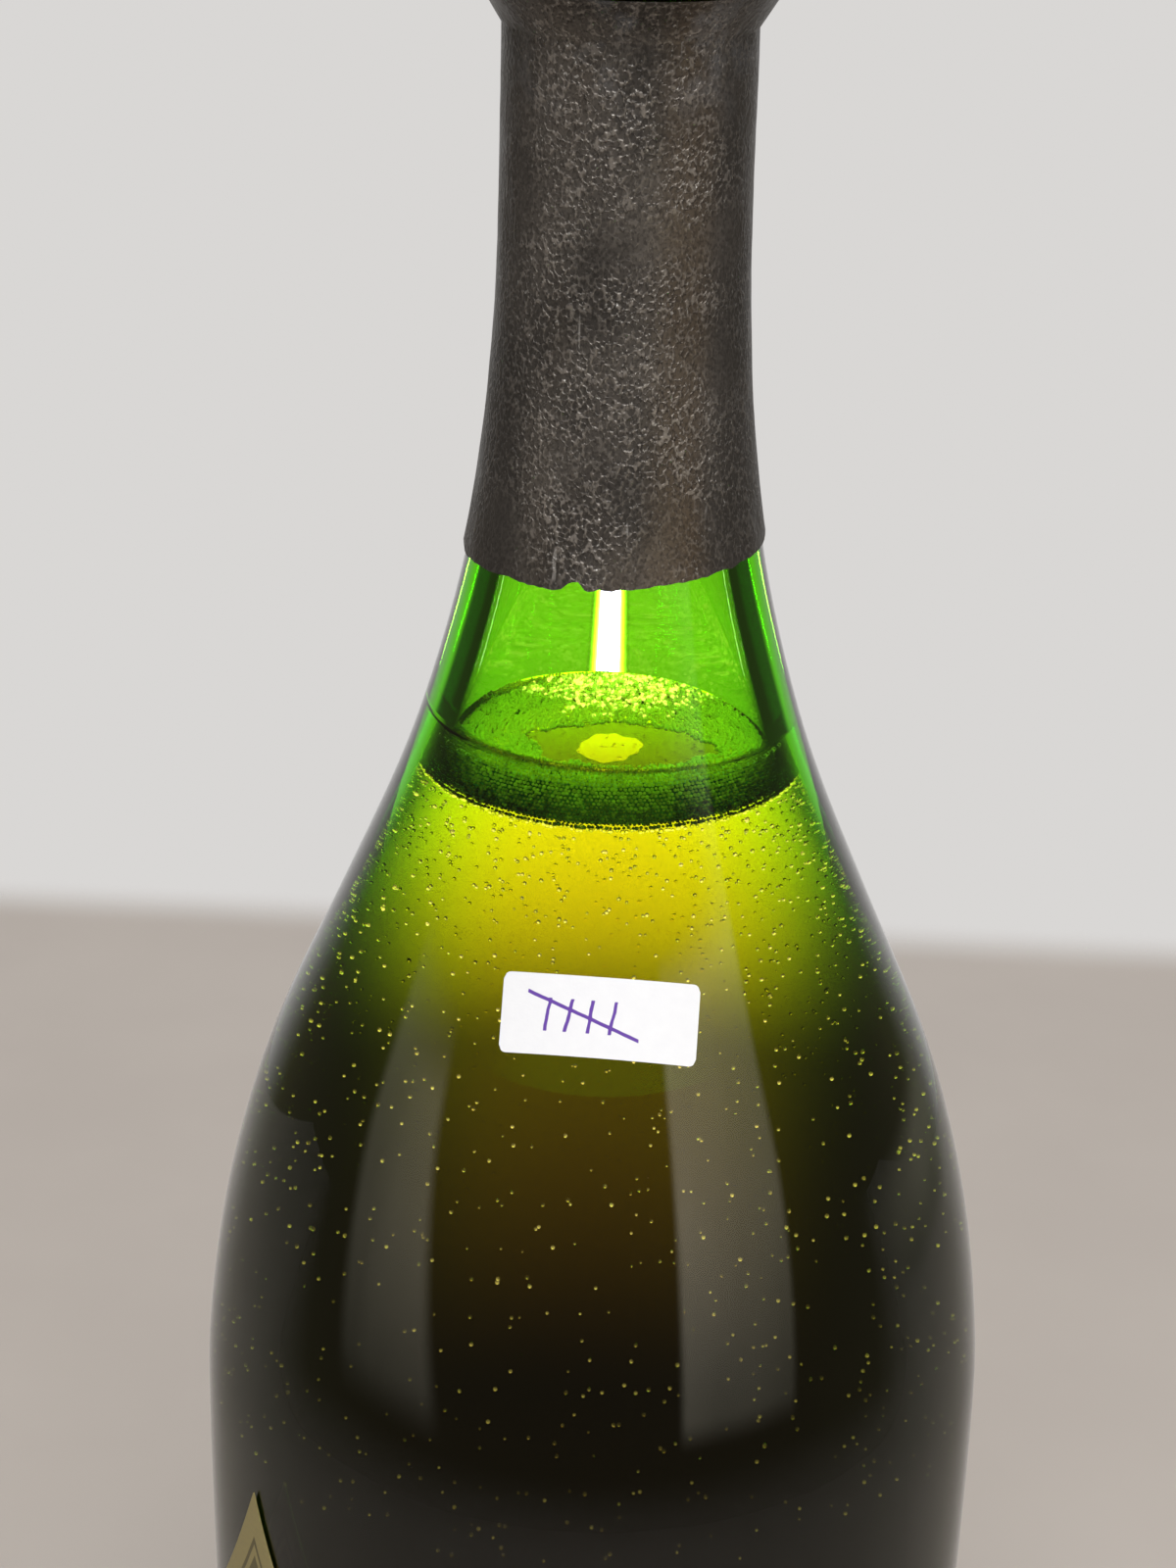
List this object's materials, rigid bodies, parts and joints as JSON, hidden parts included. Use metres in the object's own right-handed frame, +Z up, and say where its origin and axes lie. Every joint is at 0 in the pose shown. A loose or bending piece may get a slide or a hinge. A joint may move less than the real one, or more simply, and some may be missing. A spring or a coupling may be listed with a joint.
{
  "type": "champagne bottle",
  "caption": "Full sparkling-wine bottle in green glass, with cork, wire cage, foil and labels; foil, cage and cork lift off in turn.",
  "frame": {"origin": "centre of the base, on the surface that the bottle stands on", "axes": "+Z up along the bottle's axis; -Y towards the side that carries the small sticker; the front label is to the -X side of it"},
  "size_m": [0.094, 0.094, 0.3137],
  "materials": {
    "green_glass": "gloss",
    "wine": "clear liquid",
    "froth": "foam",
    "dark_foil": "satin, embossed",
    "gold_label": "satin",
    "white_paper": "matte",
    "agglomerated_cork": "matte",
    "natural_cork": "matte",
    "cap_enamel": "satin",
    "cage_steel": "satin"
  },
  "bodies": {
    "bottle": {"glass_bottle": "green_glass", "wine": "wine", "froth_collar": "froth", "foil_sleeve": "dark_foil", "front_label": "gold_label", "lot_sticker": "white_paper"},
    "cork": {"cork_body": "agglomerated_cork", "cork_disc_upper": "natural_cork", "cork_disc_lower": "natural_cork"},
    "cage": {"cage_cap": "cap_enamel", "cage_crown_ring": "cage_steel", "cage_leg_1": "cage_steel", "cage_leg_2": "cage_steel", "cage_leg_3": "cage_steel", "cage_leg_4": "cage_steel", "cage_girdle": "cage_steel"},
    "loop": {"cage_loop": "cage_steel"},
    "hood": {"foil_hood": "dark_foil", "foil_top_disc": "dark_foil"}
  },
  "joints": [
    {"name": "cork_pull", "type": "slide", "parent": "bottle", "child": "cork", "axis": [0, 0, 1], "range_m": [0, 0.035]},
    {"name": "cage_lift", "type": "slide", "parent": "cork", "child": "cage", "axis": [0, 0, 1], "range_m": [0, 0.045], "deforming": ["cage_girdle"]},
    {"name": "hood_lift", "type": "slide", "parent": "cage", "child": "hood", "axis": [0, 0, 1], "range_m": [0, 0.045]},
    {"name": "loop_fold", "type": "hinge", "parent": "cage", "child": "loop", "pos_m": [0, -0.0161, 0.2787], "axis": [1, 0, 0], "range_deg": [0, 90], "deforming": ["cage_loop"]}
  ],
  "couplings": [
    {"joint": "loop_fold", "follows": "hood_lift", "rad_per_m": 34.5}
  ]
}
